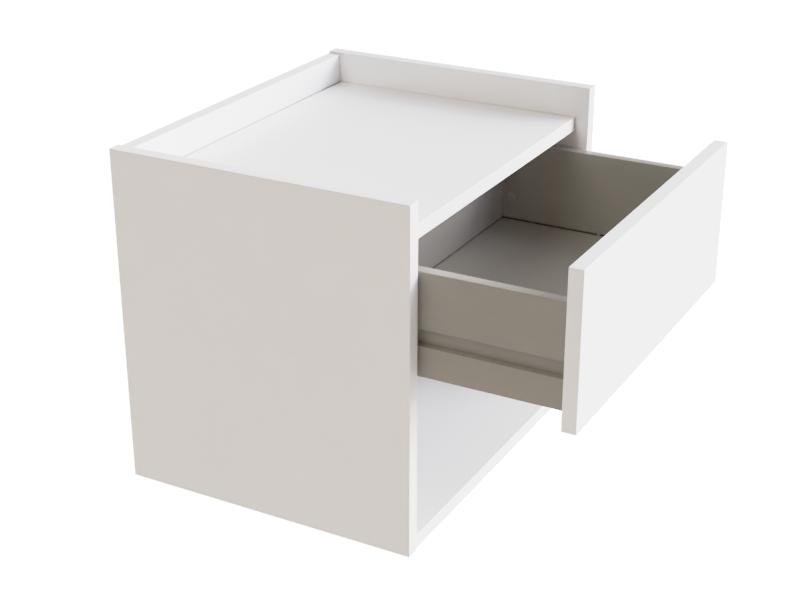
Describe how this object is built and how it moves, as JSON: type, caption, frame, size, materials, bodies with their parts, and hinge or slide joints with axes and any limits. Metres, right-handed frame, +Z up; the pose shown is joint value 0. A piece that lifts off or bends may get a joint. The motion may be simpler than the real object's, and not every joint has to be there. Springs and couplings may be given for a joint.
{
  "type": "wall-hung nightstand",
  "caption": "Wall-hung bedside cabinet with a recessed tray top, an inset handleless drawer on plain groove runners and an open shelf below.",
  "frame": {"origin": "on the wall plane (the back panel's rear face), mid-width, at the height of the top ends of the two hanger plates' keyhole slots, 350 mm above the underside", "axes": "+Z up, -Y out of the wall towards the front, +X to the right of someone facing the front; the drawer is open by 170 mm at rest, as in the picture"},
  "size_m": [0.46, 0.525, 0.39],
  "materials": {
    "white_board": "satin white lacquered foil on 16 mm board",
    "drawer_board": "satin greige foil wrapped round 12 and 13 mm board",
    "runner_plastic": "moulded grey plastic, slightly worn by sliding",
    "greige_plastic": "moulded greige plastic",
    "cam_zinc": "die-cast zinc, dull",
    "fitting_steel": "bright zinc-plated steel",
    "dowel_beech": "plain fluted beech"
  },
  "bodies": {
    "cabinet": {"side_panel_left": "white_board", "side_panel_right": "white_board", "back_panel": "white_board", "top_panel": "white_board", "bottom_panel": "white_board", "top_cam_front_left": "cam_zinc", "top_cam_front_right": "cam_zinc", "top_bolt_front_left": "fitting_steel", "top_bolt_front_right": "fitting_steel", "top_cam_rear_left": "cam_zinc", "top_cam_rear_right": "cam_zinc", "top_bolt_rear_left": "fitting_steel", "top_bolt_rear_right": "fitting_steel", "bottom_cam_front_left": "cam_zinc", "bottom_cam_front_right": "cam_zinc", "bottom_bolt_front_left": "fitting_steel", "bottom_bolt_front_right": "fitting_steel", "bottom_cam_rear_left": "cam_zinc", "bottom_cam_rear_right": "cam_zinc", "bottom_bolt_rear_left": "fitting_steel", "bottom_bolt_rear_right": "fitting_steel", "back_dowel_lower_left": "dowel_beech", "back_dowel_lower_right": "dowel_beech", "back_dowel_upper_left": "dowel_beech", "back_dowel_upper_right": "dowel_beech", "hanger_plate_left": "fitting_steel", "hanger_plate_right": "fitting_steel", "hanger_screw_outer_left": "fitting_steel", "hanger_screw_outer_right": "fitting_steel", "hanger_screw_inner_left": "fitting_steel", "hanger_screw_inner_right": "fitting_steel", "runner_left": "runner_plastic", "runner_right": "runner_plastic", "runner_screw_front_left": "fitting_steel", "runner_screw_front_right": "fitting_steel", "runner_screw_rear_left": "fitting_steel", "runner_screw_rear_right": "fitting_steel"},
    "drawer": {"drawer_front": "white_board", "drawer_side_left": "drawer_board", "drawer_side_right": "drawer_board", "drawer_back": "drawer_board", "drawer_bottom": "drawer_board", "drawer_cam_lower_left": "cam_zinc", "drawer_cam_lower_right": "cam_zinc", "drawer_bolt_lower_left": "fitting_steel", "drawer_bolt_lower_right": "fitting_steel", "drawer_back_screw_lower_left": "fitting_steel", "drawer_back_screw_lower_right": "fitting_steel", "drawer_cam_upper_left": "cam_zinc", "drawer_cam_upper_right": "cam_zinc", "drawer_bolt_upper_left": "fitting_steel", "drawer_bolt_upper_right": "fitting_steel", "drawer_back_screw_upper_left": "fitting_steel", "drawer_back_screw_upper_right": "fitting_steel", "drawer_stop_pin_left": "greige_plastic", "drawer_stop_pin_right": "greige_plastic", "drawer_bottom_wedge_left": "greige_plastic", "drawer_bottom_wedge_right": "greige_plastic"}
  },
  "joints": [
    {"name": "drawer_slide", "type": "slide", "parent": "cabinet", "child": "drawer", "axis": [0, -1, 0], "range_m": [-0.17, 0.045]}
  ]
}
